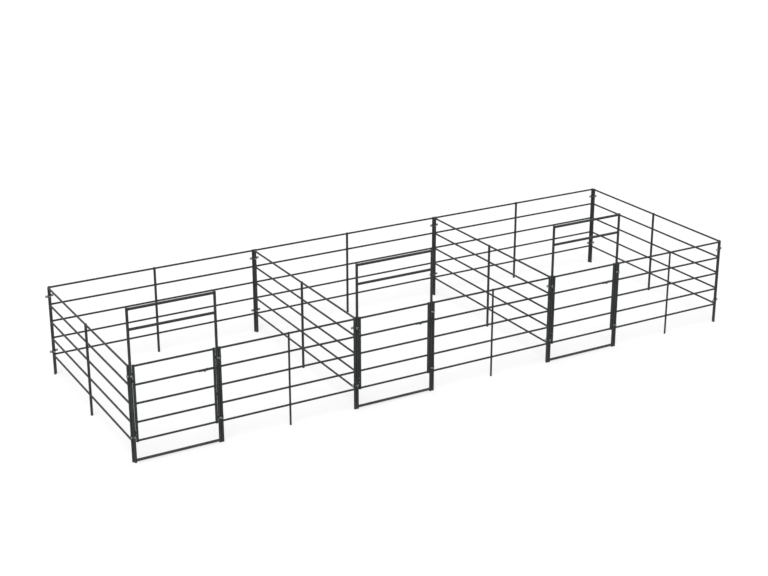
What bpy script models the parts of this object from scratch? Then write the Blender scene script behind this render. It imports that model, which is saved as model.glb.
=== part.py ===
# A row of three portable pipe stalls for horses or cattle.
# Welded round-tube panels stand on edge, three tall bow frames carry the swing
# gates, and bolted strap clamps hold the neighbouring posts together.
# Metres, +Z up. X runs along the row, Y from the gates at the front to the back.

import bmesh
import bpy
from math import atan2, cos, hypot, pi, radians, sin, sqrt
from mathutils import Matrix, Vector

# Layout
BAY_COUNT = 3
BAY_WIDTH = 3.6576            # one bay line to the next, 12 ft
BAY_DEPTH = 3.6576            # front rail plane to back rail plane, 12 ft
BOW_WIDTH = 1.3716            # the bow frame's share of a bay's front, 54 in

# Tubes
POST_DIAMETER = 0.0413        # posts, side and back uprights, bow bars
RAIL_DIAMETER = 0.03175       # rails, and the front panels' thin upright
PANEL_HEIGHT = 1.524          # over the top rail, 60 in
RAIL_COUNT = 5
RAIL_PITCH = 0.2921           # 11.5 in
BOW_HEIGHT = 2.397            # over the top bar
CROSSBAR_DROP = 0.3064        # top bar to crossbar, middle to middle
SILL_HEIGHT = 0.0355          # to the middle of the tube
CAP_RISE = 0.002              # a post's welded cap above the tube that meets it
TOUCH_GAP = 0.0003            # between pieces that bear on each other

# Gates
GATE_GAP = 0.0045             # bow post to gate stile
HINGE_CLEARANCE = 0.020       # a hinge pin's end to the clamp strap next to it
HINGE_OUT = 0.026             # hinge axis in front of the tubes' middle plane
PIN_RADIUS = 0.006
PIN_HEAD_RADIUS = 0.010
PIN_HEAD_HEIGHT = 0.005
PIN_TAIL = 0.010              # below the lower lug
RUNNING_GAP = 0.0006          # pin to barrel, barrel to lug
BARREL_WALL = 0.0032
BARREL_HEIGHT = 0.050
LUG_THICKNESS = 0.006
WEB_THICKNESS = 0.008
STOP_RAIL = 2                 # the tab behind the closed gate is midway to the next rail down
STOP_SIZE = 0.040
STOP_THICKNESS = 0.006
STOP_GAP = 0.0008
STOP_OVERLAP = 0.016          # how far the tab reaches behind the stile

# Latch: a round bolt in two guides on the gate, and a keeper on the bow post
LATCH_RAIL = 1                # counted down from the top rail
BOLT_RADIUS = 0.008
BOLT_GAP = 0.0004             # bolt to its guides and keeper
BOLT_STANDOFF = 0.0025        # between the stile and the bolt
BOLT_THROW = 0.050
BOLT_TIP = 0.005              # past the keeper when thrown
BOLT_TAIL = 0.025             # past the rear guide when thrown
GUIDE_LENGTH = 0.026
GUIDE_SPACING = 0.170
GUIDE_WALL = 0.006
KEEPER_LENGTH = 0.024
HANDLE_RADIUS = 0.005
HANDLE_LENGTH = 0.040
HANDLE_SETBACK = 0.025        # handle to the rear guide when drawn back

# Clamps
CLAMP_RISE = 0.067            # lower clamps above the bottom rail, middle to middle
CLAMP_DROP = 0.139            # upper clamps below the top rail, middle to middle
STRAP_THICKNESS = 0.0025
STRAP_HEIGHT = 0.038
STRAP_SLIT = 0.002            # between the two halves at an ear
EAR_LENGTH = 0.040
CLAMP_BOLT_RADIUS = 0.005
HEX_RADIUS = 0.0098
HEX_THICKNESS = 0.0065
SCREW_HEAD_RADIUS = 0.0080
SEAT = 0.0004                 # how deep welded or bolted faces go into each other

# Facets
POST_SIDES = 12
RAIL_SIDES = 8
SMALL_SIDES = 8
HEX_SIDES = 6
NECK_SIDES = 4
HALF_FACET = 0.5              # turns a bar so that a flat, not an edge, faces up
SMOOTH_ANGLE = radians(40)
FLAT_ANGLE = radians(0.05)
MERGE_DISTANCE = 1e-6

# Values that follow from the sizes above
POST_RADIUS = POST_DIAMETER / 2
RAIL_RADIUS = RAIL_DIAMETER / 2
POST_PITCH = POST_DIAMETER + TOUCH_GAP
HALF_PITCH = POST_PITCH / 2
NEST = HALF_PITCH * sqrt(3)   # third post behind a touching pair
GATE_PITCH = POST_DIAMETER + GATE_GAP
STRAP_INNER = POST_RADIUS + TOUCH_GAP / cos(pi / POST_SIDES)
STRAP_OUTER = STRAP_INNER + STRAP_THICKNESS
EAR_THICKNESS = 2 * STRAP_THICKNESS + STRAP_SLIT
RAIL_HEIGHTS = [PANEL_HEIGHT - RAIL_RADIUS - i * RAIL_PITCH for i in range(RAIL_COUNT)]
BACK_SPAN = BAY_WIDTH - POST_PITCH
SIDE_SPAN = BAY_DEPTH - 2 * NEST
FRONT_SPAN = BAY_WIDTH - BOW_WIDTH - POST_PITCH
BOW_SPAN = BOW_WIDTH - POST_PITCH
GATE_SPAN = BOW_SPAN - 2 * GATE_PITCH
BARREL_BORE = (PIN_RADIUS + RUNNING_GAP) / cos(pi / SMALL_SIDES)
BARREL_RADIUS = BARREL_BORE + BARREL_WALL
LUG_BORE = (PIN_RADIUS + TOUCH_GAP) / cos(pi / SMALL_SIDES)
BOLT_BORE = BOLT_RADIUS + BOLT_GAP
BOLT_OUT = POST_RADIUS + BOLT_STANDOFF + BOLT_RADIUS
LATCH_HEIGHT = RAIL_HEIGHTS[LATCH_RAIL]
STOP_HEIGHT = (RAIL_HEIGHTS[STOP_RAIL] + RAIL_HEIGHTS[STOP_RAIL + 1]) / 2
TOP_BAR_HEIGHT = BOW_HEIGHT - POST_RADIUS
LUG_TOP = BARREL_HEIGHT / 2 + RUNNING_GAP + LUG_THICKNESS
PIN_TOP = LUG_TOP + TOUCH_GAP + PIN_HEAD_HEIGHT
PIN_BOTTOM = LUG_TOP + PIN_TAIL
LOWER_CLAMP = RAIL_HEIGHTS[-1] + CLAMP_RISE
UPPER_CLAMP = RAIL_HEIGHTS[0] - CLAMP_DROP
LOWER_HINGE = LOWER_CLAMP + STRAP_HEIGHT / 2 + HINGE_CLEARANCE + PIN_BOTTOM
UPPER_HINGE = UPPER_CLAMP - STRAP_HEIGHT / 2 - HINGE_CLEARANCE - PIN_TOP

# The frame's origin is the middle of the object's box, on the ground
FRONT_REACH = STRAP_OUTER + EAR_LENGTH
BACK_REACH = STRAP_OUTER
ORIGIN = Vector((BAY_COUNT * BAY_WIDTH / 2, (BAY_DEPTH + BACK_REACH - FRONT_REACH) / 2, 0))

COLOURS = {
    "tube": ((0.050, 0.054, 0.055, 1), 0.55, 0.35),
    "gate": ((0.056, 0.060, 0.061, 1), 0.55, 0.35),
    "clamp": ((0.180, 0.185, 0.190, 1), 0.45, 0.80),
    "pin": ((0.420, 0.430, 0.440, 1), 0.35, 1.00),
}


def clearScene():
    for obj in list(bpy.data.objects):
        bpy.data.objects.remove(obj, do_unlink=True)


def makeMaterial(name, colour, roughness, metallic):
    material = bpy.data.materials.new(name)
    material.use_nodes = True
    shader = material.node_tree.nodes["Principled BSDF"]
    shader.inputs["Base Color"].default_value = colour
    shader.inputs["Roughness"].default_value = roughness
    shader.inputs["Metallic"].default_value = metallic
    return material


def meshFrom(bm, name):
    mesh = bpy.data.meshes.new(name)
    bm.to_mesh(mesh)
    bm.free()
    return mesh


def turnedAlong(start, end):
    """Matrix that puts a cylinder made along Z between two points."""
    start = Vector(start)
    end = Vector(end)
    turn = (end - start).to_track_quat("Z", "Y").to_matrix().to_4x4()
    return Matrix.Translation((start + end) / 2) @ turn


def rod(start, end, radius, sides, turn=0.0):
    """A closed round bar between two points; turn is in shares of one facet."""
    bm = bmesh.new()
    depth = (Vector(end) - Vector(start)).length
    spin = Matrix.Rotation(turn * 2 * pi / sides, 4, "Z")
    bmesh.ops.create_cone(bm, cap_ends=True, cap_tris=False, segments=sides, radius1=radius,
                          radius2=radius, depth=depth, matrix=turnedAlong(start, end) @ spin)
    return meshFrom(bm, "rod")


def post(x, bottom, top, radius):
    """An upright tube, closed by its welded cap."""
    return rod((x, 0, bottom), (x, 0, top), radius, POST_SIDES)


def block(low, high, turn=0.0, pivot=(0, 0)):
    """A box between two corners, then turned about the vertical line through pivot."""
    bm = bmesh.new()
    low = Vector(low)
    high = Vector(high)
    size = high - low
    centre = (high + low) / 2
    bmesh.ops.create_cube(bm, size=1, matrix=Matrix.Translation(centre) @ Matrix.Diagonal(size).to_4x4())
    swing = Matrix.Rotation(turn, 4, "Z")
    bmesh.ops.transform(bm, matrix=Matrix.Translation((*pivot, 0)) @ swing, verts=bm.verts)
    return meshFrom(bm, "block")


def hullBlock(centres, radius, bottom, top):
    """The tight wrap round several upright circles, as a solid."""
    bm = bmesh.new()
    for x, y in centres:
        for i in range(POST_SIDES):
            angle = 2 * pi * i / POST_SIDES
            for z in (bottom, top):
                bm.verts.new((x + radius * cos(angle), y + radius * sin(angle), z))
    result = bmesh.ops.convex_hull(bm, input=bm.verts)
    spare = {item for item in result["geom_interior"] if isinstance(item, bmesh.types.BMVert)}
    bmesh.ops.delete(bm, geom=list(spare), context="VERTS")
    bmesh.ops.dissolve_limit(bm, angle_limit=FLAT_ANGLE, verts=bm.verts, edges=bm.edges)
    bmesh.ops.recalc_face_normals(bm, faces=bm.faces)
    return meshFrom(bm, "wrap")


def boolean(base, others, operation):
    """Joins or cuts meshes with exact Booleans and gives back one mesh."""
    group = bpy.data.collections.new("operands")
    bpy.context.scene.collection.children.link(group)
    for mesh in others:
        group.objects.link(bpy.data.objects.new("operand", mesh))
    body = bpy.data.objects.new("base", base)
    bpy.context.scene.collection.objects.link(body)
    step = body.modifiers.new("step", "BOOLEAN")
    step.solver = "EXACT"
    step.operation = operation
    step.operand_type = "COLLECTION"
    step.collection = group
    bpy.context.view_layer.update()
    graph = bpy.context.evaluated_depsgraph_get()
    result = bpy.data.meshes.new_from_object(body.evaluated_get(graph))
    for obj in [body, *group.objects]:
        bpy.data.objects.remove(obj, do_unlink=True)
    bpy.data.collections.remove(group)
    return result


def tidy(mesh, name):
    """Welds coincident points, merges what lies in one plane and sets the shading."""
    bm = bmesh.new()
    bm.from_mesh(mesh)
    bmesh.ops.remove_doubles(bm, verts=bm.verts, dist=MERGE_DISTANCE)
    bmesh.ops.dissolve_limit(bm, angle_limit=FLAT_ANGLE, verts=bm.verts, edges=bm.edges)
    bm.to_mesh(mesh)
    bm.free()
    mesh.name = name
    mesh.shade_smooth()
    mesh.set_sharp_from_angle(angle=SMOOTH_ANGLE)
    return mesh


def weld(pieces, name):
    return tidy(boolean(pieces[0], pieces[1:], "UNION"), name)


def rail(start, end, height, radius, sides, turn):
    return rod((start, 0, height), (end, 0, height), radius, sides, turn)


def panelMesh(name, span, uprightRadius):
    """Two end posts and a middle upright on the ground, and five rails between them."""
    top = PANEL_HEIGHT + CAP_RISE
    pieces = [post(x, 0, top, POST_RADIUS) for x in (0, span)]
    pieces.append(post(span / 2, 0, top, uprightRadius))
    pieces += [rail(0, span, z, RAIL_RADIUS, RAIL_SIDES, HALF_FACET) for z in RAIL_HEIGHTS]
    return weld(pieces, name)


def lugMesh(x, axisX, axisY, height):
    """A plate from the post at x to a round eye on the hinge axis, drilled for the pin."""
    bottom = height
    top = height + LUG_THICKNESS
    reach = hypot(axisX - x, axisY)
    turn = atan2(axisY, axisX - x)
    arm = block((0, -BARREL_RADIUS, bottom), (reach, BARREL_RADIUS, top), turn, (x, 0))
    eye = rod((axisX, axisY, bottom), (axisX, axisY, top), BARREL_RADIUS, SMALL_SIDES)
    drill = rod((axisX, axisY, bottom - LUG_THICKNESS), (axisX, axisY, top + LUG_THICKNESS),
                LUG_BORE, SMALL_SIDES)
    return boolean(boolean(arm, [eye], "UNION"), [drill], "DIFFERENCE")


def collar(x, length, height, backY):
    """A square guide for the latch bolt, welded at backY and bored along X."""
    wall = BOLT_BORE + GUIDE_WALL
    body = block((x - length / 2, -BOLT_OUT - wall, height - wall),
                 (x + length / 2, backY, height + wall))
    drill = rod((x - length, -BOLT_OUT, height), (x + length, -BOLT_OUT, height),
                BOLT_BORE, SMALL_SIDES)
    return boolean(body, [drill], "DIFFERENCE")


def bowMesh(name):
    """The tall frame round a gate, with hinge lugs, latch keeper and stop tab.

    Its left post stands at the local origin.
    """
    top = BOW_HEIGHT + CAP_RISE
    pieces = [post(x, 0, top, POST_RADIUS) for x in (0, BOW_SPAN)]
    for height in (TOP_BAR_HEIGHT, TOP_BAR_HEIGHT - CROSSBAR_DROP, SILL_HEIGHT):
        pieces.append(rail(0, BOW_SPAN, height, POST_RADIUS, POST_SIDES, HALF_FACET))
    for height in (LOWER_HINGE, UPPER_HINGE):
        for bottom in (height + LUG_TOP - LUG_THICKNESS, height - LUG_TOP):
            pieces.append(lugMesh(0, GATE_PITCH / 2, -HINGE_OUT, bottom))
    pieces.append(collar(BOW_SPAN, KEEPER_LENGTH, LATCH_HEIGHT, -POST_RADIUS / 2))
    low = STOP_HEIGHT - STOP_SIZE / 2
    high = STOP_HEIGHT + STOP_SIZE / 2
    face = POST_RADIUS + STOP_GAP
    tabEnd = BOW_SPAN - GATE_PITCH + POST_RADIUS - STOP_OVERLAP
    pieces.append(block((tabEnd, face, low), (BOW_SPAN, face + STOP_THICKNESS, high)))
    pieces.append(block((BOW_SPAN - STOP_THICKNESS, 0, low),
                        (BOW_SPAN + STOP_THICKNESS, face + STOP_THICKNESS, high)))
    return weld(pieces, name)


def barrelMesh(height):
    """A drilled barrel on the hinge axis with the web that ties it to the stile."""
    half = BARREL_HEIGHT / 2
    reach = hypot(GATE_PITCH / 2, HINGE_OUT)
    turn = atan2(HINGE_OUT, GATE_PITCH / 2)
    web = block((0, -WEB_THICKNESS / 2, height - half), (reach, WEB_THICKNESS / 2, height + half), turn)
    barrel = rod((0, 0, height - half), (0, 0, height + half), BARREL_RADIUS, SMALL_SIDES)
    drill = rod((0, 0, height - BARREL_HEIGHT), (0, 0, height + BARREL_HEIGHT), BARREL_BORE, SMALL_SIDES)
    return boolean(boolean(web, [barrel], "UNION"), [drill], "DIFFERENCE")


def shifted(mesh, offset):
    mesh.transform(Matrix.Translation(offset))
    return mesh


def gateMesh(name):
    """Two stiles, five rails, hinge barrels and latch guides, about the hinge axis."""
    toFrame = Vector((GATE_PITCH / 2, HINGE_OUT, 0))
    bottom = RAIL_HEIGHTS[-1] - RAIL_RADIUS - CAP_RISE
    top = PANEL_HEIGHT + CAP_RISE
    pieces = [post(x, bottom, top, POST_RADIUS) for x in (0, GATE_SPAN)]
    pieces += [rail(0, GATE_SPAN, z, RAIL_RADIUS, RAIL_SIDES, HALF_FACET) for z in RAIL_HEIGHTS]
    pieces.append(collar(GATE_SPAN, GUIDE_LENGTH, LATCH_HEIGHT, -POST_RADIUS / 2))
    pieces.append(collar(GATE_SPAN - GUIDE_SPACING, GUIDE_LENGTH, LATCH_HEIGHT, -RAIL_RADIUS / 2))
    pieces = [shifted(piece, toFrame) for piece in pieces]
    pieces += [barrelMesh(height) for height in (LOWER_HINGE, UPPER_HINGE)]
    return weld(pieces, name)


def pinMesh(name):
    """A headed pin that hangs in the upper lug; its origin is the barrel's middle."""
    seat = LUG_TOP + TOUCH_GAP
    shank = rod((0, 0, -PIN_BOTTOM), (0, 0, seat + SEAT), PIN_RADIUS, SMALL_SIDES)
    head = rod((0, 0, seat), (0, 0, PIN_TOP), PIN_HEAD_RADIUS, SMALL_SIDES)
    return weld([head, shank], name)


def boltMesh(name):
    """The sliding latch bolt, drawn back, and its upright handle.

    Its origin is on the bolt's axis, in line with the gate's front stile.
    """
    tip = GATE_PITCH + KEEPER_LENGTH / 2 + BOLT_TIP - BOLT_THROW
    tail = -GUIDE_SPACING - GUIDE_LENGTH / 2 - BOLT_TAIL - BOLT_THROW
    handleX = -GUIDE_SPACING + GUIDE_LENGTH / 2 + HANDLE_SETBACK
    bar = rod((tail, 0, 0), (tip, 0, 0), BOLT_RADIUS, SMALL_SIDES)
    handle = rod((handleX, 0, 0), (handleX, 0, HANDLE_LENGTH), HANDLE_RADIUS, SMALL_SIDES)
    return weld([bar, handle], name)


def earPieces(x, y, angle):
    """The bolted ear of a clamp: a double tab, and the bolt with its head and nut."""
    half = STRAP_HEIGHT / 2
    start = STRAP_INNER + STRAP_THICKNESS / 2
    end = STRAP_OUTER + EAR_LENGTH
    middle = STRAP_OUTER + EAR_LENGTH / 2
    tab = block((start, -EAR_THICKNESS / 2, -half), (end, EAR_THICKNESS / 2, half), angle, (x, y))
    slit = block((STRAP_INNER / 2, -STRAP_SLIT / 2, -2 * half), (2 * end, STRAP_SLIT / 2, 2 * half),
                 angle, (x, y))
    along = Vector((cos(angle), sin(angle), 0))
    across = Vector((-sin(angle), cos(angle), 0))
    centre = Vector((x, y, 0)) + along * middle
    face = EAR_THICKNESS / 2
    neck = rod(centre - across * (face - SEAT), centre + across * (face - SEAT), CLAMP_BOLT_RADIUS,
               NECK_SIDES, HALF_FACET)
    head = rod(centre - across * (face + HEX_THICKNESS), centre - across * (face - SEAT), HEX_RADIUS,
               HEX_SIDES)
    nut = rod(centre + across * (face - SEAT), centre + across * (face + HEX_THICKNESS), HEX_RADIUS,
              HEX_SIDES)
    return tab, slit, [neck, head, nut]


def screwHead(x, y, angle):
    """The hexagon head of a set screw, on the strap."""
    along = Vector((cos(angle), sin(angle), 0))
    base = Vector((x, y, 0))
    return rod(base + along * (STRAP_OUTER - SEAT), base + along * (STRAP_OUTER + HEX_THICKNESS),
               SCREW_HEAD_RADIUS, HEX_SIDES)


def clampMesh(name, posts, ears, screws):
    """Two strap halves wrapped round nested posts and bolted at their ears."""
    half = STRAP_HEIGHT / 2
    strap = hullBlock(posts, STRAP_OUTER, -half, half)
    core = hullBlock(posts, STRAP_INNER, -2 * half, 2 * half)
    tabs = []
    slits = []
    hardware = []
    for ear in ears:
        tab, slit, bolt = earPieces(*ear)
        tabs.append(tab)
        slits.append(slit)
        hardware += bolt
    hardware += [screwHead(*screw) for screw in screws]
    strap = boolean(strap, tabs, "UNION")
    strap = boolean(strap, [core, *slits], "DIFFERENCE")
    return weld([strap, *hardware], name)


def place(name, mesh, material, x, y, z=0.0, turn=0.0, parent=None):
    """Adds one node; x, y and z are plan positions, or its parent's when it has one."""
    if not mesh.materials:
        mesh.materials.append(material)
    obj = bpy.data.objects.new(name, mesh)
    bpy.context.scene.collection.objects.link(obj)
    spot = Vector((x, y, z))
    obj.parent = parent
    obj.location = spot if parent else spot - ORIGIN
    obj.rotation_euler = (0, 0, turn)
    return obj


def buildPanels(material):
    back = panelMesh("back_panel", BACK_SPAN, POST_RADIUS)
    side = panelMesh("side_panel", SIDE_SPAN, POST_RADIUS)
    front = panelMesh("front_panel", FRONT_SPAN, RAIL_RADIUS)
    for bay in range(BAY_COUNT):
        x = bay * BAY_WIDTH
        place(f"back_panel_{bay + 1}", back, material, x + HALF_PITCH, BAY_DEPTH)
        place(f"front_panel_{bay + 1}", front, material, x + BOW_WIDTH + HALF_PITCH, 0)
    names = ["left_end_panel", *(f"divider_panel_{i}" for i in range(1, BAY_COUNT)), "right_end_panel"]
    for line, name in enumerate(names):
        place(name, side, material, line * BAY_WIDTH, NEST, turn=pi / 2)


def buildGates(tubeMaterial, gateMaterial, pinMaterial):
    bow = bowMesh("bow_frame")
    gate = gateMesh("gate")
    pin = pinMesh("hinge_pin")
    bolt = boltMesh("latch_bolt")
    for bay in range(BAY_COUNT):
        label = bay + 1
        postX = bay * BAY_WIDTH + HALF_PITCH
        hingeX = postX + GATE_PITCH / 2
        place(f"bow_frame_{label}", bow, tubeMaterial, postX, 0)
        leaf = place(f"gate_{label}", gate, gateMaterial, hingeX, -HINGE_OUT)
        place(f"latch_bolt_{label}", bolt, gateMaterial, GATE_PITCH / 2 + GATE_SPAN,
              HINGE_OUT - BOLT_OUT, LATCH_HEIGHT, parent=leaf)
        for level, height in (("lower", LOWER_HINGE), ("upper", UPPER_HINGE)):
            place(f"hinge_pin_{label}_{level}", pin, pinMaterial, hingeX, -HINGE_OUT, height)


def junctions():
    """Every place where posts meet: name, plan position, posts, ears and set screws there."""
    left = (-HALF_PITCH, 0)
    right = (HALF_PITCH, 0)
    behind = (0, NEST)
    ahead = (0, -NEST)
    west, east, south, north = pi, 0.0, -pi / 2, pi / 2
    pairMiddle = (HALF_PITCH / 2, NEST / 2)
    pairFront = radians(210)      # square to the line through the front left pair
    found = [
        ("back_left", 0, BAY_DEPTH, [right, ahead], [(*ahead, west), (*right, east)], [(*ahead, south)]),
        ("back_right", BAY_COUNT, BAY_DEPTH, [left, ahead], [(*left, west), (*ahead, east)],
         [(*ahead, south)]),
        ("front_left", 0, 0, [right, behind], [(*pairMiddle, pairFront), (*pairMiddle, pairFront - pi)],
         [(*right, south)]),
        ("front_right", BAY_COUNT, 0, [left, behind], [(*left, west), (*behind, east)], []),
    ]
    for line in range(1, BAY_COUNT):
        found.append((f"back_{line}", line, BAY_DEPTH, [left, right, ahead],
                      [(*left, west), (*right, east)], [(*ahead, south)]))
        found.append((f"front_{line}", line, 0, [left, right, behind],
                      [(*left, west), (0, 0, south)], [(*right, south)]))
    for bay in range(BAY_COUNT):
        found.append((f"bow_{bay + 1}", bay + BOW_WIDTH / BAY_WIDTH, 0, [left, right],
                      [(0, 0, south), (0, 0, north)], [(*left, south)]))
    return found


def buildClamps(material):
    for name, line, y, posts, ears, screws in junctions():
        mesh = clampMesh(f"clamp_{name}", posts, ears, screws)
        for level, height in (("lower", LOWER_CLAMP), ("upper", UPPER_CLAMP)):
            place(f"clamp_{name}_{level}", mesh, material, line * BAY_WIDTH, y, height)


def main():
    clearScene()
    materials = {name: makeMaterial(name, *values) for name, values in COLOURS.items()}
    buildPanels(materials["tube"])
    buildGates(materials["tube"], materials["gate"], materials["pin"])
    buildClamps(materials["clamp"])
    count = sum(len(p.vertices) - 2 for obj in bpy.data.objects for p in obj.data.polygons)
    print("objects", len(bpy.data.objects), "triangles", count)


main()
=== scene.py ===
from math import atan2, cos, hypot, pi, radians, sin, sqrt

import bmesh
import bpy
from mathutils import Matrix, Vector


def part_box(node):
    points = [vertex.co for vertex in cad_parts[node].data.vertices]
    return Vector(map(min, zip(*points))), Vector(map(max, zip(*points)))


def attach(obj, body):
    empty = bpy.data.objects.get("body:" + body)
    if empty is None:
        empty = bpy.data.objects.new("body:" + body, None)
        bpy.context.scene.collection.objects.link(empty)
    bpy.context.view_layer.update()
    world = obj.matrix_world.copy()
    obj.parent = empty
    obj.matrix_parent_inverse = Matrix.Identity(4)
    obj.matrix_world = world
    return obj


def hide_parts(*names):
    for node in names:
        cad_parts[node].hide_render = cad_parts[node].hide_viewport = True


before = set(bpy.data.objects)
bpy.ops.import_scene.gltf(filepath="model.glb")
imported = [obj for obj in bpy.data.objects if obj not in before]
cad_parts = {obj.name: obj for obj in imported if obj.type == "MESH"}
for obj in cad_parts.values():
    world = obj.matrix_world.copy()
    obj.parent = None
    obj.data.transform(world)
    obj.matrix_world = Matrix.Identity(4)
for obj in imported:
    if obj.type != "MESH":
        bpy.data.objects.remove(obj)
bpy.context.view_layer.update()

print("frame loaded,", len(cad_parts), "nodes")

# sizes that the panels, bow frames, gates and clamps share, in metres
tubeSizes = {
    "postRadius": 0.02065,
    "railRadius": 0.015875,
    "touchGap": 0.0003,
    "capRise": 0.002,
    "railCount": 5,
    "railPitch": 0.2921,
    "panelHeight": 1.524,
    "bayWidth": 3.6576,
    "bowWidth": 1.3716,
}
postRadius = tubeSizes["postRadius"]
railRadius = tubeSizes["railRadius"]
halfPitch = postRadius + tubeSizes["touchGap"] / 2
nest = halfPitch * sqrt(3)
postTop = tubeSizes["panelHeight"] + tubeSizes["capRise"]
railHeights = [tubeSizes["panelHeight"] - railRadius - i * tubeSizes["railPitch"]
               for i in range(tubeSizes["railCount"])]
bays = (1, 2, 3)
levels = ("lower", "upper")


# finishes

def linear(r, g, b):
    # a colour given in 0 to 255, as the shader wants it
    parts = []
    for value in (r, g, b):
        value = value / 255
        parts.append(value / 12.92 if value <= 0.04045 else ((value + 0.055) / 1.055) ** 2.4)
    return (*parts, 1)


class NodeBench:
    # a small helper that adds and joins shader nodes
    def __init__(self, name):
        self.material = bpy.data.materials.new(name)
        self.material.use_nodes = True
        self.tree = self.material.node_tree
        self.shader = self.tree.nodes["Principled BSDF"]
        self.place = self.add("ShaderNodeTexCoord").outputs["Object"]

    def add(self, kind, **settings):
        node = self.tree.nodes.new(kind)
        for key, value in settings.items():
            setattr(node, key, value)
        return node

    def join(self, output, socket):
        self.tree.links.new(output, socket)

    def noise(self, scale, detail=3, rough=0.55):
        node = self.add("ShaderNodeTexNoise")
        node.inputs["Scale"].default_value = scale
        node.inputs["Detail"].default_value = detail
        node.inputs["Roughness"].default_value = rough
        self.join(self.place, node.inputs["Vector"])
        return node.outputs["Fac"]

    def spread(self, value, low, high, newLow=0.0, newHigh=1.0):
        # turns the span from low to high into newLow to newHigh, with soft ends
        node = self.add("ShaderNodeMapRange", interpolation_type="SMOOTHSTEP")
        node.inputs["From Min"].default_value = low
        node.inputs["From Max"].default_value = high
        node.inputs["To Min"].default_value = newLow
        node.inputs["To Max"].default_value = newHigh
        self.join(value, node.inputs["Value"])
        return node.outputs["Result"]

    def maths(self, kind, a, b):
        node = self.add("ShaderNodeMath", operation=kind)
        for socket, value in zip(node.inputs, (a, b)):
            if isinstance(value, (int, float)):
                socket.default_value = value
            else:
                self.join(value, socket)
        return node.outputs[0]

    def blend(self, factor, a, b):
        node = self.add("ShaderNodeMix", data_type="RGBA")
        self.join(factor, node.inputs["Factor"])
        for key, value in (("A", a), ("B", b)):
            socket = [s for s in node.inputs if s.name == key and s.type == "RGBA"][0]
            if isinstance(value, tuple):
                socket.default_value = value
            else:
                self.join(value, socket)
        return [s for s in node.outputs if s.type == "RGBA"][0]

    def bump(self, height, distance, strength, normal=None):
        node = self.add("ShaderNodeBump")
        node.inputs["Distance"].default_value = distance
        node.inputs["Strength"].default_value = strength
        self.join(height, node.inputs["Height"])
        if normal:
            self.join(normal, node.inputs["Normal"])
        return node.outputs["Normal"]

    def upright(self, vector):
        # the Z part of a vector
        parts = self.add("ShaderNodeSeparateXYZ")
        self.join(vector, parts.inputs["Vector"])
        return parts.outputs["Z"]

    def facing(self):
        # how far a face looks up, from -1 to 1
        return self.upright(self.add("ShaderNodeNewGeometry").outputs["Normal"])

    def height(self):
        return self.upright(self.place)


def powderCoat(name, look):
    bench = NodeBench(name)
    tone = bench.spread(bench.noise(look["toneScale"], detail=4), *look["toneSpan"])
    colour = bench.blend(tone, look["dark"], look["light"])
    grains = bench.noise(look["speckScale"], detail=2)
    speck = bench.spread(grains, *look["speckSpan"], 0.0, look["speckShare"])
    colour = bench.blend(speck, colour, look["speck"])

    # dust lies on what faces up and is splashed up from the ground
    upward = bench.spread(bench.facing(), *look["upwardSpan"])
    patches = bench.noise(look["dustScale"], detail=5, rough=0.65)
    patch = bench.spread(patches, *look["dustSpan"], look["dustLeast"], 1.0)
    settled = bench.maths("MULTIPLY", bench.maths("MULTIPLY", upward, patch), look["dustShare"])
    low = bench.spread(bench.height(), 0.0, look["splashHeight"], look["splash"], 0.0)
    drops = bench.spread(bench.noise(look["dustScale"] * 2, detail=5, rough=0.7), *look["splashSpan"])
    dust = bench.maths("MAXIMUM", settled, bench.maths("MULTIPLY", low, drops))
    colour = bench.blend(dust, colour, look["dust"])

    # small chips and rub marks down to the primer
    knocks = bench.noise(look["chipScale"], detail=5, rough=0.7)
    chip = bench.spread(knocks, look["chipFrom"], look["chipFrom"] + look["chipEdge"])
    colour = bench.blend(bench.maths("MULTIPLY", chip, look["chipShare"]), colour, look["chip"])
    bench.join(colour, bench.shader.inputs["Base Color"])

    smooth = look["rough"] - look["roughSpread"]
    coarse = look["rough"] + look["roughSpread"]
    rough = bench.spread(bench.noise(look["toneScale"] * 6), *look["roughSpan"], smooth, coarse)
    rough = bench.maths("MAXIMUM", rough, bench.maths("MULTIPLY", dust, look["dustRough"]))
    bench.join(rough, bench.shader.inputs["Roughness"])
    bench.shader.inputs["Specular IOR Level"].default_value = look["gloss"]

    # orange peel, a slow unevenness and the chips' edges
    peel = bench.bump(bench.noise(look["peelScale"], detail=2), look["peelDepth"], strength=0.6)
    waves = bench.noise(look["waveScale"], detail=2)
    uneven = bench.bump(waves, look["waveDepth"], strength=0.35, normal=peel)
    relief = bench.bump(chip, look["chipDepth"], strength=0.8, normal=uneven)
    bench.join(relief, bench.shader.inputs["Normal"])
    return bench.material


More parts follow.
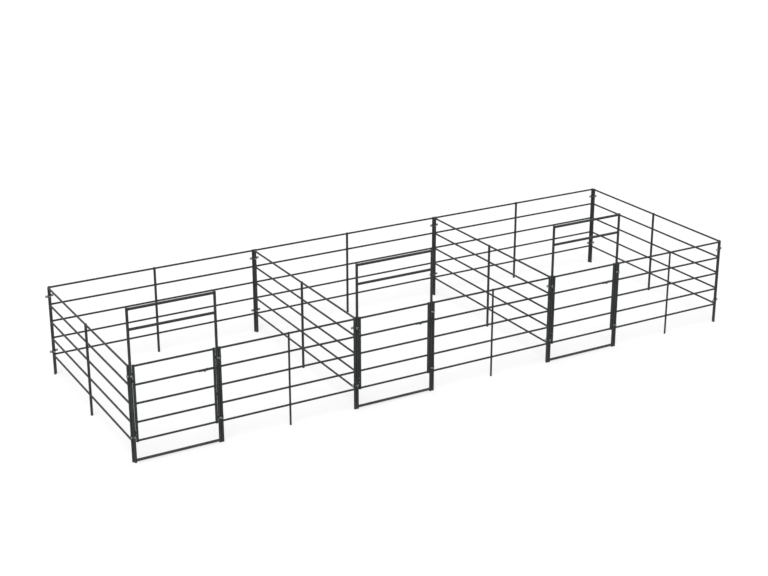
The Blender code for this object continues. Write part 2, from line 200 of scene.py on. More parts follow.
def zincPlate(name, look):
    bench = NodeBench(name)
    clouds = bench.noise(look["cloudScale"], detail=4, rough=0.6)
    colour = bench.blend(bench.spread(clouds, *look["cloudSpan"]), look["dark"], look["light"])
    spangle = bench.add("ShaderNodeTexVoronoi")
    spangle.inputs["Scale"].default_value = look["spangleScale"]
    bench.join(bench.place, spangle.inputs["Vector"])
    grain = bench.spread(spangle.outputs["Distance"], *look["spangleSpan"], 0.0, look["spangleShare"])
    colour = bench.blend(grain, colour, look["spangle"])

    # a chalky bloom, as old zinc has
    spots = bench.noise(look["cloudScale"] * 5, detail=6, rough=0.7)
    bloom = bench.spread(spots, *look["bloomSpan"], 0.0, look["bloomShare"])
    colour = bench.blend(bloom, colour, look["bloom"])
    bench.join(colour, bench.shader.inputs["Base Color"])

    smooth = look["rough"] - look["roughLess"]
    coarse = look["rough"] + look["roughMore"]
    rubbed = bench.noise(look["cloudScale"] * 3, detail=4)
    rough = bench.spread(rubbed, *look["cloudSpan"], smooth, coarse)
    rough = bench.maths("ADD", rough, bench.maths("MULTIPLY", bloom, look["bloomRough"]))
    bench.join(rough, bench.shader.inputs["Roughness"])
    bench.shader.inputs["Metallic"].default_value = look["metal"]

    fine = bench.bump(bench.noise(look["grainScale"]), look["grainDepth"], strength=0.5)
    relief = bench.bump(bloom, look["bloomDepth"], strength=0.5, normal=fine)
    bench.join(relief, bench.shader.inputs["Normal"])
    return bench.material


# a Scale counts waves in a metre, a Span is the part of a noise that is used, a Depth is in metres
coatLook = {
    "dark": linear(50, 53, 53), "light": linear(59, 62, 62), "toneScale": 9, "toneSpan": (0.35, 0.65),
    "speck": linear(74, 80, 80), "speckScale": 900, "speckSpan": (0.58, 0.70), "speckShare": 0.35,
    "dust": linear(118, 118, 112), "dustScale": 22, "dustSpan": (0.35, 0.75), "dustLeast": 0.3,
    "dustShare": 0.10, "dustRough": 0.85, "upwardSpan": (0.35, 1.0),
    "splash": 0.22, "splashHeight": 0.22, "splashSpan": (0.40, 0.65),
    "chip": linear(128, 130, 130), "chipScale": 150, "chipFrom": 0.715, "chipEdge": 0.02,
    "chipShare": 0.8, "chipDepth": 0.00025,
    "rough": 0.50, "roughSpread": 0.06, "roughSpan": (0.3, 0.7), "gloss": 0.18,
    "peelScale": 1100, "peelDepth": 0.00018, "waveScale": 38, "waveDepth": 0.0006,
}
gateLook = {
    **coatLook,
    "dark": linear(51, 54, 54), "light": linear(60, 63, 63), "toneScale": 11, "chipFrom": 0.70,
}
weldLook = {
    **coatLook,
    "dark": linear(47, 50, 50), "light": linear(58, 61, 61), "toneScale": 60,
    "rough": 0.55, "peelScale": 420, "peelDepth": 0.0008,
}
strapLook = {
    **coatLook,
    "dark": linear(50, 53, 54), "light": linear(64, 67, 68), "toneScale": 30,
    "chipFrom": 0.66, "chip": linear(150, 152, 154), "rough": 0.46, "gloss": 0.28,
}
zincLook = {
    "dark": linear(140, 143, 144), "light": linear(166, 169, 170), "cloudScale": 60,
    "cloudSpan": (0.3, 0.7),
    "spangle": linear(180, 183, 184), "spangleScale": 320, "spangleSpan": (0.0, 0.8),
    "spangleShare": 0.35,
    "bloom": linear(196, 197, 193), "bloomSpan": (0.60, 0.72), "bloomShare": 0.5,
    "bloomRough": 0.25, "bloomDepth": 0.0001,
    "rough": 0.46, "roughLess": 0.08, "roughMore": 0.10, "metal": 0.25,
    "grainScale": 1500, "grainDepth": 0.00012,
}
pinLook = {
    **zincLook,
    "dark": linear(150, 152, 155), "light": linear(190, 192, 195), "cloudScale": 90,
    "rough": 0.28, "metal": 0.9,
}

coat = powderCoat("charcoalCoat", coatLook)
gateCoat = powderCoat("gateCoat", gateLook)
weldCoat = powderCoat("coatedWeld", weldLook)
strapCoat = powderCoat("coatedStrap", strapLook)
zinc = zincPlate("boltZinc", zincLook)
pinZinc = zincPlate("pinZinc", pinLook)
print("materials made")


# shapes that several pieces share

smallSides = 28  # faces round a pin, a latch bolt or a bore
mergeWithin = 1e-6  # points closer than this are one
flatWithin = radians(0.5)  # faces that turn less than this are one
layFlat = 0.9  # a face lies flat when its normal's Z is past this
asItIs = Matrix.Identity(4)


def between(start, end):
    # the place of a piece that runs from start to end along its own Z
    start = Vector(start)
    end = Vector(end)
    turn = (end - start).to_track_quat("Z", "Y").to_matrix().to_4x4()
    return Matrix.Translation((start + end) / 2) @ turn


def addCopy(bm, piece, matrix=asItIs, keep=False):
    # puts a placed copy of one bmesh into another
    mesh = bpy.data.meshes.new("copy")
    piece.to_mesh(mesh)
    mesh.transform(matrix)
    bm.from_mesh(mesh)
    bpy.data.meshes.remove(mesh)
    if not keep:
        piece.free()


def softenEdges(bm, edges, width, steps):
    bmesh.ops.bevel(bm, geom=edges, offset=width, segments=steps, profile=0.5,
                    affect="EDGES", material=-1)


def softenRims(bm, faces, width, steps=3):
    # rounds the rims of the given end faces
    rims = {edge for face in faces for edge in face.edges}
    softenEdges(bm, list(rims), width, steps)


def addBar(bm, start, end, radius, sides, rim=0.0):
    # a round bar, with its two rims rounded when rim is set
    piece = bmesh.new()
    bmesh.ops.create_cone(piece, cap_ends=True, cap_tris=False, segments=sides,
                          radius1=radius, radius2=radius, depth=(Vector(end) - Vector(start)).length)
    if rim:
        softenRims(piece, [face for face in piece.faces if len(face.verts) > 4], rim)
    addCopy(bm, piece, between(start, end))


def addBlock(bm, low, high, rim, steps=2, matrix=asItIs):
    # a block between two corners, with all its edges rounded
    low = Vector(low)
    high = Vector(high)
    piece = bmesh.new()
    bmesh.ops.create_cube(piece, size=1, matrix=Matrix.Diagonal(high - low).to_4x4())
    softenEdges(piece, list(piece.edges), rim, steps)
    addCopy(bm, piece, matrix @ Matrix.Translation((low + high) / 2))


def finished(item):
    # the mesh of an object with its modifiers done, as a new bmesh
    bpy.context.view_layer.update()
    graph = bpy.context.evaluated_depsgraph_get()
    result = bmesh.new()
    result.from_mesh(bpy.data.meshes.new_from_object(item.evaluated_get(graph)))
    return result


def addObject(bm, name):
    # makes an object of a bmesh and lets go of the bmesh
    mesh = bpy.data.meshes.new(name)
    bm.to_mesh(mesh)
    bm.free()
    item = bpy.data.objects.new(name, mesh)
    bpy.context.scene.collection.objects.link(item)
    return item


def cutHole(piece, cutter):
    # takes the cutter's shape out of the piece, and gives back a new bmesh
    block = addObject(piece, "block")
    tool = addObject(cutter, "tool")
    step = block.modifiers.new("cut", "BOOLEAN")
    step.operation = "DIFFERENCE"
    step.solver = "EXACT"
    step.object = tool
    result = finished(block)
    bpy.data.objects.remove(block)
    bpy.data.objects.remove(tool)
    return result


def makePiece(bm, name, material, body, replaced=(), matrix=asItIs, sharpFrom=35):
    # puts a bmesh in its place, as a piece that rides on a body and stands for CAD nodes
    bmesh.ops.transform(bm, matrix=matrix, verts=bm.verts)
    piece = addObject(bm, name)
    piece.data.shade_smooth()
    piece.data.set_sharp_from_angle(angle=radians(sharpFrom))
    piece.data.materials.append(material)
    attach(piece, body)
    if replaced:
        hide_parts(*replaced)


# weld beads, made once for each pair of tubes that meet

beadSizes = {
    "radius": 0.0030, "sides": 4, "steps": 14, "sink": 0.0006, "sharpFrom": 80,
    "wrap": 0.97,  # how far to the side it follows the tube's curve, as a share of the tube's radius
}


def saddleBead(barRadius, hostRadius, flush):
    # a bead round a bar along +X where it meets an upright, ground level with its cap if flush
    bead = bmesh.new()
    bmesh.ops.create_circle(bead, segments=beadSizes["sides"], radius=beadSizes["radius"],
                            matrix=Matrix.Translation((0, barRadius + beadSizes["sink"], 0)))
    bmesh.ops.spin(bead, geom=list(bead.edges), cent=(0, 0, 0), axis=(1, 0, 0), angle=2 * pi,
                   steps=beadSizes["steps"], use_merge=True, use_duplicate=False)
    bmesh.ops.remove_doubles(bead, verts=bead.verts, dist=mergeWithin)
    for vert in bead.verts:
        across = min(abs(vert.co.y), hostRadius * beadSizes["wrap"])
        vert.co.x += sqrt(hostRadius ** 2 - across ** 2) + beadSizes["sink"]
        if flush:
            vert.co.z = min(vert.co.z, barRadius + tubeSizes["capRise"] - tubeSizes["touchGap"])
    bmesh.ops.recalc_face_normals(bead, faces=bead.faces)
    return bead


beads = {}
for kind, barRadius, hostRadius in (("railPost", railRadius, postRadius),
                                    ("railThin", railRadius, railRadius),
                                    ("barPost", postRadius, postRadius)):
    beads[kind] = saddleBead(barRadius, hostRadius, False)
    beads[kind + "Top"] = saddleBead(barRadius, hostRadius, True)
halfTurn = Matrix.Rotation(pi, 4, "Z")


def addBead(bm, kind, x, z, side):
    turn = asItIs if side > 0 else halfTurn
    addCopy(bm, beads[kind], Matrix.Translation((x, 0, z)) @ turn, keep=True)


# panels

panelSizes = {
    "postSides": 36, "railSides": 28,
    "capHeight": 0.0046, "capGroove": 0.0006, "capRim": 0.0022, "footRim": 0.0012,
}


def addPost(bm, x, bottom, top, radius):
    # an upright with its welded cap, a fine groove below the cap and a softened foot
    sides = panelSizes["postSides"]
    capFrom = top - panelSizes["capHeight"]
    addBar(bm, (x, 0, bottom), (x, 0, capFrom), radius, sides, panelSizes["footRim"])
    addBar(bm, (x, 0, capFrom - panelSizes["capGroove"]), (x, 0, top), radius, sides,
           panelSizes["capRim"])


def addRails(rails, welds, span):
    # each rail runs from axis to axis, so that no end shows beside an upright
    for z in railHeights:
        addBar(rails, (0, 0, z), (span, 0, z), railRadius, panelSizes["railSides"])
        kind = "railPostTop" if z == railHeights[0] else "railPost"
        addBead(welds, kind, 0, z, 1)
        addBead(welds, kind, span, z, -1)


def makePanel(node, title, matrix, span, thin=False):
    middleRadius = railRadius if thin else postRadius
    posts = bmesh.new()
    for x, radius in ((0, postRadius), (span / 2, middleRadius), (span, postRadius)):
        addPost(posts, x, 0, postTop, radius)
    makePiece(posts, title + "Uprights", coat, "stall_frame", [node], matrix)
    rails = bmesh.new()
    welds = bmesh.new()
    addRails(rails, welds, span)
    for z in railHeights:
        kind = "railThin" if thin else "railPost"
        if z == railHeights[0]:
            kind += "Top"
        addBead(welds, kind, span / 2, z, -1)
        addBead(welds, kind, span / 2, z, 1)
    makePiece(rails, title + "Rails", coat, "stall_frame", (), matrix)
    makePiece(welds, title + "Welds", weldCoat, "stall_frame", (), matrix, beadSizes["sharpFrom"])


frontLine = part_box("front_panel_1")[0].y + postRadius
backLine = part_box("back_panel_1")[0].y + postRadius
for bay in bays:
    for side, line, thin in (("back", backLine, False), ("front", frontLine, True)):
        node = f"{side}_panel_{bay}"
        low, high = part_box(node)
        place = Matrix.Translation((low.x + postRadius, line, 0))
        makePanel(node, f"{side}Panel{bay}", place, high.x - low.x - 2 * postRadius, thin)
quarterTurn = Matrix.Rotation(pi / 2, 4, "Z")
for node, title in (("left_end_panel", "leftEndPanel"), ("divider_panel_1", "dividerPanel1"),
                    ("divider_panel_2", "dividerPanel2"), ("right_end_panel", "rightEndPanel")):
    low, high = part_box(node)
    place = Matrix.Translation(((low.x + high.x) / 2, low.y + postRadius, 0)) @ quarterTurn
    makePanel(node, title, place, high.y - low.y - 2 * postRadius)
print("panels made")


# bow frames and the gates in them

bowSizes = {
    "height": 2.397, "crossbarDrop": 0.3064, "sillHeight": 0.0355, "gateGap": 0.0045,
}
bowSpan = tubeSizes["bowWidth"] - 2 * halfPitch
gatePitch = 2 * postRadius + bowSizes["gateGap"]
gateSpan = bowSpan - 2 * gatePitch

hingeSizes = {
    "out": 0.026, "barrelBore": 0.0068, "barrelRadius": 0.0103, "barrelHeight": 0.050,
    "runningGap": 0.0006, "lug": 0.006, "rim": 0.0009,
    "lugFlare": 1.25,  # the lug's width at the post, as a share of its width at the eye
    "web": 0.008, "webSink": 0.004, "webInset": 0.001, "webRim": 0.001,
}
pinSizes = {
    "radius": 0.006, "tailRim": 0.0012, "headRadius": 0.010, "head": 0.005, "headRim": 0.0018,
    "splitReach": 0.0105, "splitLean": 0.002, "splitUp": 0.0045, "splitRadius": 0.0014,
    "splitSides": 10, "splitRim": 0.0006,
}
lugTop = hingeSizes["barrelHeight"] / 2 + hingeSizes["runningGap"] + hingeSizes["lug"]
headToHinge = pinSizes["head"] + tubeSizes["touchGap"] + lugTop
hingeHeights = [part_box(f"hinge_pin_1_{level}")[1].z - headToHinge for level in levels]


def lugPlate(low, high):
    # an eye round the hinge axis and the flat arm that ties it to the post, as one plate
    plate = bmesh.new()
    axisX = gatePitch / 2
    axisY = -hingeSizes["out"]
    across = Vector((-axisY, axisX, 0)) / hypot(axisX, axisY) * hingeSizes["barrelRadius"]
    for z in (low, high):
        bmesh.ops.create_circle(plate, segments=smallSides, radius=hingeSizes["barrelRadius"],
                                matrix=Matrix.Translation((axisX, axisY, z)))
        for side in (-1, 1):
            plate.verts.new(Vector((0, 0, z)) + across * side * hingeSizes["lugFlare"])
    bmesh.ops.convex_hull(plate, input=plate.verts)
    bmesh.ops.dissolve_limit(plate, angle_limit=flatWithin, verts=plate.verts, edges=plate.edges)
    flats = [face for face in plate.faces if abs(face.normal.z) > layFlat]
    softenRims(plate, flats, hingeSizes["rim"], 2)
    return plate


def hollowBar(inner, outer, length, rim, matrix):
    # a ring along Z, turned from its profile, with rounded rims
    ring = bmesh.new()
    half = length / 2
    profile = [(inner, -half), (outer - rim, -half), (outer, -half + rim), (outer, half - rim),
               (outer - rim, half), (inner, half)]
    corners = [ring.verts.new((x, 0, z)) for x, z in profile]
    for a, b in zip(corners, corners[1:] + corners[:1]):
        ring.edges.new((a, b))
    bmesh.ops.spin(ring, geom=list(ring.edges), cent=(0, 0, 0), axis=(0, 0, 1), angle=2 * pi,
                   steps=smallSides, use_merge=True, use_duplicate=False)
    bmesh.ops.remove_doubles(ring, verts=ring.verts, dist=mergeWithin)
    bmesh.ops.recalc_face_normals(ring, faces=ring.faces)
    bmesh.ops.transform(ring, matrix=matrix, verts=ring.verts)
    return ring


stopSizes = {
    "tall": 0.040, "thickness": 0.006, "gap": 0.0008, "overlap": 0.016, "root": 0.006, "rim": 0.0012,
}
stopHeight = (railHeights[2] + railHeights[3]) / 2


def stopAngle():
    # an angle plate on the bow's right post that the gate's stile comes to rest against
    thickness = stopSizes["thickness"]
    face = postRadius + stopSizes["gap"]
    tabEnd = bowSpan - gatePitch + postRadius - stopSizes["overlap"]
    outline = [(tabEnd, face), (bowSpan - thickness, face), (bowSpan - thickness, stopSizes["root"]),
               (bowSpan + thickness, stopSizes["root"]), (bowSpan + thickness, face + thickness),
               (tabEnd, face + thickness)]
    bottom = stopHeight - stopSizes["tall"] / 2
    plate = bmesh.new()
    flat = plate.faces.new([plate.verts.new((x, y, bottom)) for x, y in outline])
    grown = bmesh.ops.extrude_face_region(plate, geom=[flat], use_keep_orig=True)
    raised = [item for item in grown["geom"] if isinstance(item, bmesh.types.BMVert)]
    bmesh.ops.translate(plate, vec=(0, 0, stopSizes["tall"]), verts=raised)
    bmesh.ops.recalc_face_normals(plate, faces=plate.faces)
    softenEdges(plate, list(plate.edges), stopSizes["rim"], 2)
    return plate


latchSizes = {
    "boltRadius": 0.008, "boltRim": 0.0022, "bore": 0.0084, "out": 0.03115, "wall": 0.006,
    "guideLength": 0.026, "guideSpacing": 0.170, "keeperLength": 0.024, "collarRim": 0.0022,
    "collarBack": 0.6,  # how far a collar's back is from the tube's axis, as a share of its radius
    "tip": 0.0128, "handleSetback": 0.025,
    "handleRadius": 0.005, "handleSides": 20, "handleRim": 0.0030,
    "rootInset": 0.001, "rootFlare": 0.0028, "rootHeight": 0.004, "rootRim": 0.0018,
    "rootRise": 0.0008,
}
latchHeight = railHeights[1]


def boltCollar(x, length, tubeRadius):
    # a block on a tube with a round bore along X that guides or catches the latch bolt
    y = -latchSizes["out"]
    wall = latchSizes["bore"] + latchSizes["wall"]
    collar = bmesh.new()
    addBlock(collar, (x - length / 2, y - wall, latchHeight - wall),
             (x + length / 2, -tubeRadius * latchSizes["collarBack"], latchHeight + wall),
             latchSizes["collarRim"], 3)
    bore = bmesh.new()
    addBar(bore, (x - length, y, latchHeight), (x + length, y, latchHeight), latchSizes["bore"],
           smallSides)
    return cutHole(collar, bore)


def makeBow(bay):
    node = f"bow_frame_{bay}"
    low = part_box(node)[0]
    matrix = Matrix.Translation((low.x + postRadius, frontLine, 0))
    tubes = bmesh.new()
    welds = bmesh.new()
    for x in (0, bowSpan):
        addPost(tubes, x, 0, bowSizes["height"] + tubeSizes["capRise"], postRadius)
    barTop = bowSizes["height"] - postRadius
    for z in (barTop, barTop - bowSizes["crossbarDrop"], bowSizes["sillHeight"]):
        addBar(tubes, (0, 0, z), (bowSpan, 0, z), postRadius, panelSizes["postSides"])
        kind = "barPostTop" if z == barTop else "barPost"
        addBead(welds, kind, 0, z, 1)
        addBead(welds, kind, bowSpan, z, -1)
    makePiece(tubes, f"bowFrame{bay}Tubes", coat, "stall_frame", [node], matrix)
    makePiece(welds, f"bowFrame{bay}Welds", weldCoat, "stall_frame", (), matrix,
              beadSizes["sharpFrom"])
    fittings = bmesh.new()
    for z in hingeHeights:
        for bottom in (z + lugTop - hingeSizes["lug"], z - lugTop):
            addCopy(fittings, lugPlate(bottom, bottom + hingeSizes["lug"]))
    addCopy(fittings, boltCollar(bowSpan, latchSizes["keeperLength"], postRadius))
    addCopy(fittings, stopAngle())
    makePiece(fittings, f"bowFrame{bay}Fittings", coat, "stall_frame", (), matrix)


def addBarrel(bm, z):
    # a hinge barrel, and the web from its wall into the gate's stile
    spot = Matrix.Translation((-gatePitch / 2, -hingeSizes["out"], z))
    addCopy(bm, hollowBar(hingeSizes["barrelBore"], hingeSizes["barrelRadius"],
                          hingeSizes["barrelHeight"], hingeSizes["rim"], spot))
    turn = Matrix.Rotation(atan2(hingeSizes["out"], gatePitch / 2), 4, "Z")
    start = (hingeSizes["barrelBore"] + hingeSizes["barrelRadius"]) / 2
    reach = hypot(gatePitch / 2, hingeSizes["out"]) - postRadius + hingeSizes["webSink"]
    half = hingeSizes["barrelHeight"] / 2 - hingeSizes["webInset"]
    web = hingeSizes["web"] / 2
    addBlock(bm, (start, -web, -half), (reach, web, half), hingeSizes["webRim"], 2, spot @ turn)


def makeGate(bay):
    node = f"gate_{bay}"
    body = f"gate_leaf_{bay}"
    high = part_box(node)[1]
    matrix = Matrix.Translation((high.x - postRadius - gateSpan, frontLine, 0))
    bottom = railHeights[-1] - railRadius - tubeSizes["capRise"]
    lowCapTop = bottom + panelSizes["capHeight"]
    stiles = bmesh.new()
    for x in (0, gateSpan):
        addBar(stiles, (x, 0, bottom), (x, 0, lowCapTop), postRadius, panelSizes["postSides"],
               panelSizes["capRim"])
        addPost(stiles, x, lowCapTop - panelSizes["capGroove"], postTop, postRadius)
    makePiece(stiles, f"gate{bay}Stiles", gateCoat, body, [node], matrix)
    rails = bmesh.new()
    welds = bmesh.new()
    addRails(rails, welds, gateSpan)
    makePiece(rails, f"gate{bay}Rails", gateCoat, body, (), matrix)
    makePiece(welds, f"gate{bay}Welds", weldCoat, body, (), matrix, beadSizes["sharpFrom"])
    fittings = bmesh.new()
    for z in hingeHeights:
        addBarrel(fittings, z)
    guide = latchSizes["guideLength"]
    addCopy(fittings, boltCollar(gateSpan, guide, postRadius))
    addCopy(fittings, boltCollar(gateSpan - latchSizes["guideSpacing"], guide, railRadius))
    makePiece(fittings, f"gate{bay}Fittings", gateCoat, body, (), matrix)


def makePin(bay, level):
    node = f"hinge_pin_{bay}_{level}"
    low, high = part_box(node)
    x = (low.x + high.x) / 2
    y = (low.y + high.y) / 2
    pin = bmesh.new()
    addBar(pin, (x, y, low.z), (x, y, high.z - pinSizes["head"] / 2), pinSizes["radius"], smallSides,
           pinSizes["tailRim"])
    addBar(pin, (x, y, high.z - pinSizes["head"]), (x, y, high.z), pinSizes["headRadius"], smallSides,
           pinSizes["headRim"])
    # a split pin keeps the tail in the lug
    reach = Vector((pinSizes["splitReach"], pinSizes["splitLean"], 0))
    middle = Vector((x, y, low.z + pinSizes["splitUp"]))
    addBar(pin, middle - reach, middle + reach, pinSizes["splitRadius"], pinSizes["splitSides"],
           pinSizes["splitRim"])
    makePiece(pin, f"hingePin{bay}{level.title()}", pinZinc, "stall_frame", [node])


def makeLatch(bay):
    node = f"latch_bolt_{bay}"
    low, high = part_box(node)
    y = (low.y + high.y) / 2
    latch = bmesh.new()
    addBar(latch, (low.x, y, latchHeight), (high.x, y, latchHeight), latchSizes["boltRadius"],
           smallSides, latchSizes["boltRim"])
    leftGuideEnd = (high.x - latchSizes["tip"] - latchSizes["guideSpacing"]
                    + latchSizes["guideLength"] / 2)
    x = leftGuideEnd + latchSizes["handleSetback"]
    radius = latchSizes["handleRadius"]
    addBar(latch, (x, y, latchHeight), (x, y, high.z), radius, latchSizes["handleSides"],
           latchSizes["handleRim"])
    rootAt = latchHeight + latchSizes["boltRadius"] + latchSizes["rootRise"]
    addCopy(latch, hollowBar(radius - latchSizes["rootInset"], radius + latchSizes["rootFlare"],
                             latchSizes["rootHeight"], latchSizes["rootRim"],
                             Matrix.Translation((x, y, rootAt))))
    makePiece(latch, f"latchBolt{bay}", gateCoat, f"latch_slide_{bay}", [node])


for bay in bays:
    makeBow(bay)
    makeGate(bay)
    makeLatch(bay)
    for level in levels:
        makePin(bay, level)
print("bow frames, gates, latches and pins made")


# clamps

clampSizes = {
    "thickness": 0.0025, "height": 0.038, "slit": 0.002, "ear": 0.040,
    "sides": 48, "bend": 0.0022, "rim": 0.0007, "rimFrom": 50, "earCorner": 0.006,
    "boltRadius": 0.005, "boltSides": 20, "boltRim": 0.0010, "stub": 0.0035,
    "hexRadius": 0.0098, "hexThickness": 0.0065, "hexSink": 0.0001,
    "hexRim": 0.12,  # a share of the hexagon's radius
    "plate": 0.033, "plateThickness": 0.002, "plateRim": 0.0006, "plateSink": 0.0002,
    "nutRadius": 0.0118, "nutHeight": 0.0045, "nutSink": 0.0006,
    "screwGap": 0.0006, "screwHead": 0.0045,
    "boltTurn": 0.3, "nutTurn": 0.1, "screwTurn": 0.5,  # how the hexagons happen to stand, in radians
}
strapInner = postRadius + tubeSizes["touchGap"]
strapOuter = strapInner + clampSizes["thickness"]
halfSlit = clampSizes["slit"] / 2
slitSlack = 1e-5  # how far a point may be off the slit's side
sliceWithin = 1e-7  # points closer than this to a cut lie on it


def directions(angle):
    # along an ear, and across it
    return Vector((cos(angle), sin(angle), 0)), Vector((-sin(angle), cos(angle), 0))


def openEar(band, x, y, angle):
    # opens the sheet at an ear and turns its two sides out into tabs
    along, across = directions(angle)
    centre = Vector((x, y, 0))
    for side in (-1, 1):
        bmesh.ops.bisect_plane(band, geom=[*band.verts, *band.edges, *band.faces], dist=sliceWithin,
                               plane_co=centre + across * side * halfSlit, plane_no=across)
    gone = []
    for face in band.faces:
        offset = face.calc_center_median() - centre
        if abs(offset.dot(across)) < halfSlit - slitSlack and offset.dot(along) > 0:
            gone.append(face)
    bmesh.ops.delete(band, geom=gone, context="FACES")
    rims = []
    for edge in band.edges:
        rise = abs(edge.verts[0].co.z - edge.verts[1].co.z)
        offset = edge.verts[0].co - centre
        onSlit = abs(abs(offset.dot(across)) - halfSlit) < slitSlack and offset.dot(along) > 0
        if edge.is_boundary and rise > clampSizes["height"] / 2 and onSlit:
            rims.append(edge)
    grown = bmesh.ops.extrude_edge_only(band, edges=rims)
    tips = [item for item in grown["geom"] if isinstance(item, bmesh.types.BMVert)]
    for vert in tips:
        vert.co += along * (strapOuter + clampSizes["ear"] - (vert.co - centre).dot(along))
    softenEdges(band, rims, clampSizes["bend"], 3)


def strapBand(posts, ears):
    # a sheet wrapped round the posts, with two tabs at each ear and their corners cut round
    half = clampSizes["height"] / 2
    band = bmesh.new()
    for z in (-half, half):
        for x, y in posts:
            bmesh.ops.create_circle(band, segments=clampSizes["sides"], radius=strapInner,
                                    matrix=Matrix.Translation((x, y, z)))
    hull = bmesh.ops.convex_hull(band, input=band.verts)
    inside = {item for item in hull["geom_interior"] if isinstance(item, bmesh.types.BMVert)}
    bmesh.ops.delete(band, geom=list(inside), context="VERTS")
    bmesh.ops.dissolve_limit(band, angle_limit=flatWithin, verts=band.verts, edges=band.edges)
    bmesh.ops.recalc_face_normals(band, faces=band.faces)
    flats = [face for face in band.faces if abs(face.normal.z) > layFlat]
    bmesh.ops.delete(band, geom=flats, context="FACES")
    for ear in ears:
        openEar(band, *ear)
    corners = [vert for vert in band.verts
               if len(vert.link_edges) == 2 and all(edge.is_boundary for edge in vert.link_edges)]
    bmesh.ops.bevel(band, geom=corners, offset=clampSizes["earCorner"], segments=4, profile=0.5,
                    affect="VERTICES", material=-1)
    bmesh.ops.recalc_face_normals(band, faces=band.faces)
    return band


def thicken(band):
    # gives the sheet its wall outwards and rounds its rims
    sheet = addObject(band, "strap")
    wall = sheet.modifiers.new("wall", "SOLIDIFY")
    wall.thickness = clampSizes["thickness"]
    wall.offset = 1
    wall.use_even_offset = True
    rim = sheet.modifiers.new("rim", "BEVEL")
    rim.width = clampSizes["rim"]
    rim.segments = 2
    rim.limit_method = "ANGLE"
    rim.angle_limit = radians(clampSizes["rimFrom"])
    result = finished(sheet)
    bpy.data.objects.remove(sheet)
    return result


def addHex(bm, start, end, radius, turn):
    # a hexagon with its outer corners turned off
    start = Vector(start)
    end = Vector(end)
    piece = bmesh.new()
    bmesh.ops.create_cone(piece, cap_ends=True, cap_tris=False, segments=6, radius1=radius,
                          radius2=radius, depth=(end - start).length,
                          matrix=Matrix.Rotation(turn, 4, "Z"))
    tops = [face for face in piece.faces if face.normal.z > layFlat]
    softenRims(piece, tops, radius * clampSizes["hexRim"], 2)
    addCopy(bm, piece, between(start, end))


def addEarBolt(bm, x, y, angle):
    # a bolt through both tabs, with a square plate washer on each side to spread the load
    along, across = directions(angle)
    centre = Vector((x, y, 0)) + along * (strapOuter + clampSizes["ear"] / 2)
    face = halfSlit + clampSizes["thickness"]
    seat = face + clampSizes["plateThickness"]
    hexTop = seat + clampSizes["hexThickness"]
    turned = Matrix.Translation(centre) @ Matrix.Rotation(angle, 4, "Z")
    half = clampSizes["plate"] / 2
    for side in (-1, 1):
        near, far = sorted((side * (face - clampSizes["plateSink"]), side * seat))
        addBlock(bm, (-half, near, -half), (half, far, half), clampSizes["plateRim"], 2, turned)
        addHex(bm, centre + across * side * (seat - clampSizes["hexSink"]),
               centre + across * side * hexTop, clampSizes["hexRadius"], clampSizes["boltTurn"])
    addBar(bm, centre - across * seat, centre + across * (hexTop + clampSizes["stub"]),
           clampSizes["boltRadius"], clampSizes["boltSides"], clampSizes["boltRim"])


def addSetScrew(bm, x, y, angle):
    # a nut welded to the strap with its screw's head outside
    along = directions(angle)[0]
    base = Vector((x, y, 0)) + along * (strapOuter - clampSizes["nutSink"])
    nutTop = base + along * clampSizes["nutHeight"]
    headFrom = nutTop + along * clampSizes["screwGap"]
    headTop = headFrom + along * clampSizes["screwHead"]
    addHex(bm, base, nutTop, clampSizes["nutRadius"], clampSizes["nutTurn"])
    addBar(bm, base, (headFrom + headTop) / 2, clampSizes["boltRadius"], clampSizes["boltSides"])
    addHex(bm, headFrom, headTop, clampSizes["hexRadius"], clampSizes["screwTurn"])


def clampPlaces():
    # for each joint: its name, its x and y, its posts, its ears and its set screws
    left = (-halfPitch, 0)
    right = (halfPitch, 0)
    behind = (0, nest)
    ahead = (0, -nest)
    west = pi
    east = 0.0
    south = -pi / 2
    north = pi / 2
    pairMiddle = (halfPitch / 2, nest / 2)
    pairFront = radians(210)  # square to the line through the two posts
    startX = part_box("left_end_panel")[0].x + postRadius
    endX = startX + len(bays) * tubeSizes["bayWidth"]
    found = [
        ("back_left", startX, backLine, [right, ahead], [(*ahead, west), (*right, east)],
         [(*ahead, south)]),
        ("back_right", endX, backLine, [left, ahead], [(*left, west), (*ahead, east)],
         [(*ahead, south)]),
        ("front_left", startX, frontLine, [right, behind],
         [(*pairMiddle, pairFront), (*pairMiddle, pairFront - pi)], [(*right, south)]),
        ("front_right", endX, frontLine, [left, behind], [(*left, west), (*behind, east)], []),
    ]
    for line in bays[:-1]:
        x = startX + line * tubeSizes["bayWidth"]
        found.append((f"back_{line}", x, backLine, [left, right, ahead],
                      [(*left, west), (*right, east)], [(*ahead, south)]))
        found.append((f"front_{line}", x, frontLine, [left, right, behind],
                      [(*left, west), (0, 0, south)], [(*right, south)]))
    for bay in bays:
        x = startX + (bay - 1) * tubeSizes["bayWidth"] + tubeSizes["bowWidth"]
        found.append((f"bow_{bay}", x, frontLine, [left, right],
                      [(0, 0, south), (0, 0, north)], [(*left, south)]))
    return found


for part, x, y, posts, ears, screws in clampPlaces():
    title = "clamp" + "".join(word.title() for word in part.split("_"))
    strap = thicken(strapBand(posts, ears))
    hardware = bmesh.new()
    for ear in ears:
        addEarBolt(hardware, *ear)
    for screw in screws:
        addSetScrew(hardware, *screw)
    for level in levels:
        node = f"clamp_{part}_{level}"
        low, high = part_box(node)
        place = Matrix.Translation((x, y, (low.z + high.z) / 2))
        name = title + level.title()
        makePiece(strap.copy(), name + "Strap", strapCoat, "stall_frame", [node], place)
        makePiece(hardware.copy(), name + "Bolts", zinc, "stall_frame", (), place)
    strap.free()
    hardware.free()
print("clamps made")


# floor, light and camera

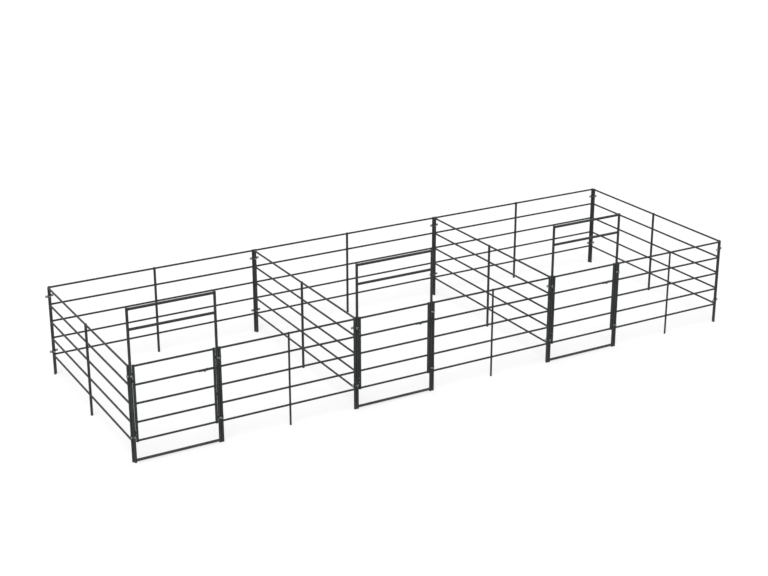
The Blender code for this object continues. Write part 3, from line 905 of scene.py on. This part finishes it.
studio = {
    "floorSize": 400, "floorDrop": 0.0005, "floorColour": (0.40, 0.40, 0.40, 1), "floorGlow": 0.64,
    "fill": 0.68, "sun": 1.30, "sunAngle": 50, "sunTurn": (38, 0, -40),
}


def cameraRays(tree):
    # 1 for what the camera sees directly, in gloss or through glass
    path = tree.nodes.new("ShaderNodeLightPath")
    total = path.outputs["Is Camera Ray"]
    for key in ("Is Glossy Ray", "Is Transmission Ray"):
        node = tree.nodes.new("ShaderNodeMath")
        node.operation = "MAXIMUM"
        tree.links.new(total, node.inputs[0])
        tree.links.new(path.outputs[key], node.inputs[1])
        total = node.outputs[0]
    return total


def makeFloor():
    bm = bmesh.new()
    bmesh.ops.create_grid(bm, x_segments=1, y_segments=1, size=studio["floorSize"] / 2,
                          matrix=Matrix.Translation((0, 0, -studio["floorDrop"])))
    floor = addObject(bm, "floor")
    material = bpy.data.materials.new("paleFloor")
    material.use_nodes = True
    tree = material.node_tree
    tree.nodes.clear()
    matte = tree.nodes.new("ShaderNodeBsdfDiffuse")
    matte.inputs["Color"].default_value = studio["floorColour"]
    glow = tree.nodes.new("ShaderNodeEmission")
    strength = tree.nodes.new("ShaderNodeMath")
    strength.operation = "MULTIPLY"
    strength.inputs[1].default_value = studio["floorGlow"]
    tree.links.new(cameraRays(tree), strength.inputs[0])
    tree.links.new(strength.outputs[0], glow.inputs["Strength"])
    both = tree.nodes.new("ShaderNodeAddShader")
    tree.links.new(matte.outputs[0], both.inputs[0])
    tree.links.new(glow.outputs[0], both.inputs[1])
    out = tree.nodes.new("ShaderNodeOutputMaterial")
    tree.links.new(both.outputs[0], out.inputs["Surface"])
    floor.data.materials.append(material)


def makeLight():
    # an even white surround that the camera sees as white, and one soft lamp
    world = bpy.data.worlds.new("studio")
    bpy.context.scene.world = world
    world.use_nodes = True
    tree = world.node_tree
    background = tree.nodes["Background"]
    background.inputs["Color"].default_value = (1, 1, 1, 1)
    strength = tree.nodes.new("ShaderNodeMapRange")
    strength.inputs["To Min"].default_value = studio["fill"]
    strength.inputs["To Max"].default_value = 1.0
    tree.links.new(cameraRays(tree), strength.inputs["Value"])
    tree.links.new(strength.outputs["Result"], background.inputs["Strength"])
    lamp = bpy.data.lights.new("softLamp", "SUN")
    lamp.energy = studio["sun"]
    lamp.angle = radians(studio["sunAngle"])
    light = bpy.data.objects.new("softLamp", lamp)
    light.rotation_euler = [radians(value) for value in studio["sunTurn"]]
    bpy.context.scene.collection.objects.link(light)


view = {
    "spot": (-11.885, -20.224, 9.942), "turn": 29.812, "tilt": 19.582,
    "lens": 69.38, "sensor": 36, "shiftY": -0.0378, "seesTo": 500,
}


def makeCamera():
    data = bpy.data.cameras.new("camera")
    data.sensor_width = view["sensor"]
    data.lens = view["lens"]
    data.shift_y = view["shiftY"]
    data.clip_end = view["seesTo"]
    camera = bpy.data.objects.new("camera", data)
    turn = radians(view["turn"])
    tilt = radians(view["tilt"])
    ahead = Vector((sin(turn) * cos(tilt), cos(turn) * cos(tilt), -sin(tilt)))
    camera.location = view["spot"]
    camera.rotation_mode = "QUATERNION"
    camera.rotation_quaternion = ahead.to_track_quat("-Z", "Y")
    bpy.context.scene.collection.objects.link(camera)
    bpy.context.scene.camera = camera


makeFloor()
makeLight()
makeCamera()
bpy.context.scene.view_settings.view_transform = "Standard"
print("studio made")
